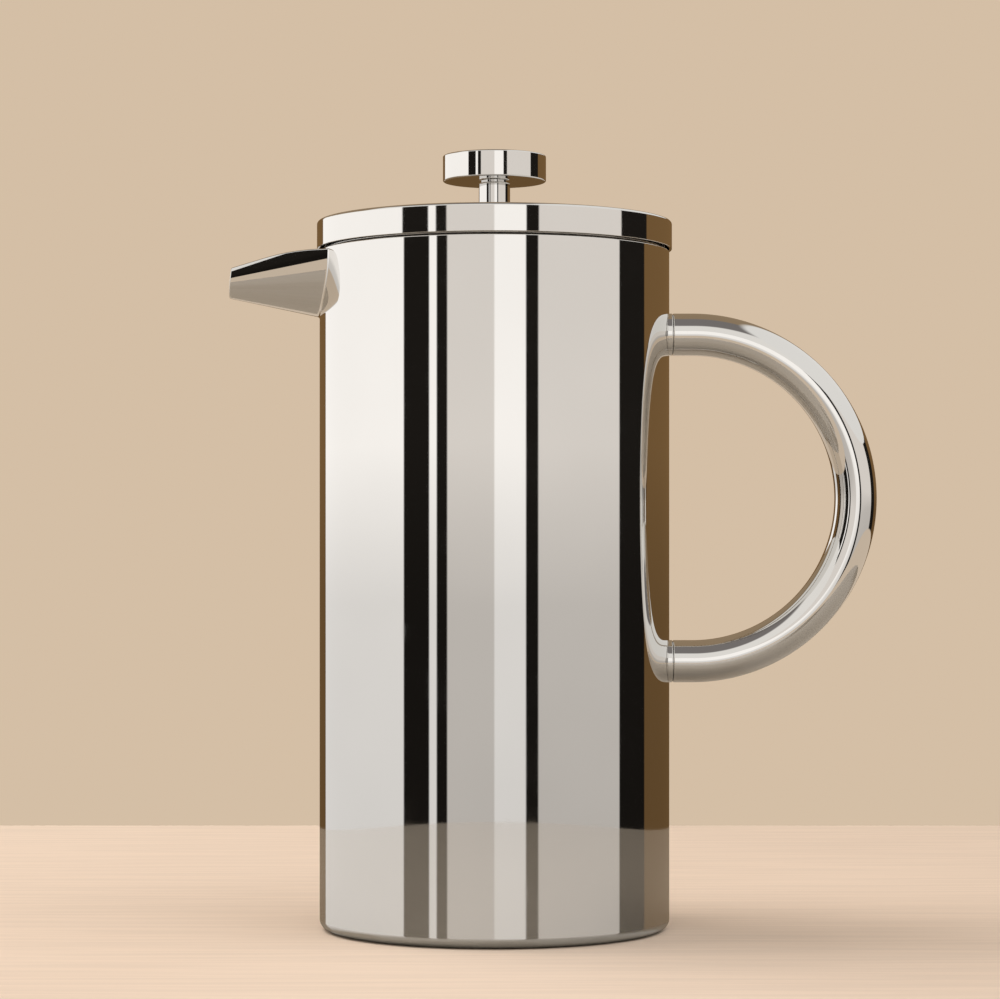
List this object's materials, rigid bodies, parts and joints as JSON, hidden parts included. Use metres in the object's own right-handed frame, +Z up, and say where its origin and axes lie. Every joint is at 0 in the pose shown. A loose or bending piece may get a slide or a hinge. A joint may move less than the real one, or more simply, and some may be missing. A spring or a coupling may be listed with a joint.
{
  "type": "french press",
  "caption": "Double-wall steel French press with a trough spout, a half-ring tube handle, a turning lift-off lid and a knobbed plunger carrying a mesh screen stack.",
  "frame": {"origin": "centre of the base, on the surface that the press stands on", "axes": "+Z up along the axis of the body, +X towards the handle, the spout along -X"},
  "size_m": [0.1947, 0.1066, 0.2319],
  "materials": {
    "polished_steel": "mirror-polished stainless steel",
    "liner_steel": "satin stainless steel, spun",
    "rod_steel": "ground and polished stainless steel",
    "screen_steel": "satin pressed stainless steel",
    "mesh_steel": "fine woven stainless wire",
    "spring_steel": "drawn stainless wire"
  },
  "bodies": {
    "carafe": {"outer_shell": "polished_steel", "base_cover": "liner_steel", "inner_liner": "liner_steel", "spout": "polished_steel", "handle_tube": "polished_steel", "upper_boss": "polished_steel", "lower_boss": "polished_steel"},
    "rod_guide": {"lid_bush": "rod_steel", "bush_clip": "spring_steel"},
    "lid": {"lid_cover": "polished_steel", "lid_pan": "liner_steel", "strainer_ring": "liner_steel"},
    "plunger": {"knob": "polished_steel", "knob_neck": "polished_steel", "plunger_rod": "rod_steel", "rod_hub": "rod_steel"},
    "screen_pack": {"spiral_plate": "screen_steel", "coil_spring": "spring_steel", "filter_mesh": "mesh_steel", "mesh_eyelet": "screen_steel"},
    "screw_plate": {"cross_plate": "screen_steel", "cross_hub": "screen_steel"}
  },
  "joints": [
    {"name": "lid_lift", "type": "slide", "parent": "carafe", "child": "rod_guide", "axis": [0, 0, 1], "range_m": [0, 0.2]},
    {"name": "lid_turn", "type": "hinge", "parent": "rod_guide", "child": "lid", "pos_m": [0, 0, 0.2], "axis": [0, 0, 1], "continuous": true},
    {"name": "plunger_stroke", "type": "slide", "parent": "rod_guide", "child": "plunger", "axis": [0, 0, 1], "range_m": [0, 0.1555]},
    {"name": "screen_drop", "type": "slide", "parent": "plunger", "child": "screen_pack", "axis": [0, 0, -1], "range_m": [0, 0.005]},
    {"name": "screen_unscrew", "type": "hinge", "parent": "screen_pack", "child": "screw_plate", "pos_m": [0, 0, 0.02], "axis": [0, 0, -1], "range_deg": [0, 2160]}
  ],
  "couplings": [
    {"joint": "screen_drop", "follows": "screen_unscrew", "m_per_rad": 0.00012732}
  ]
}
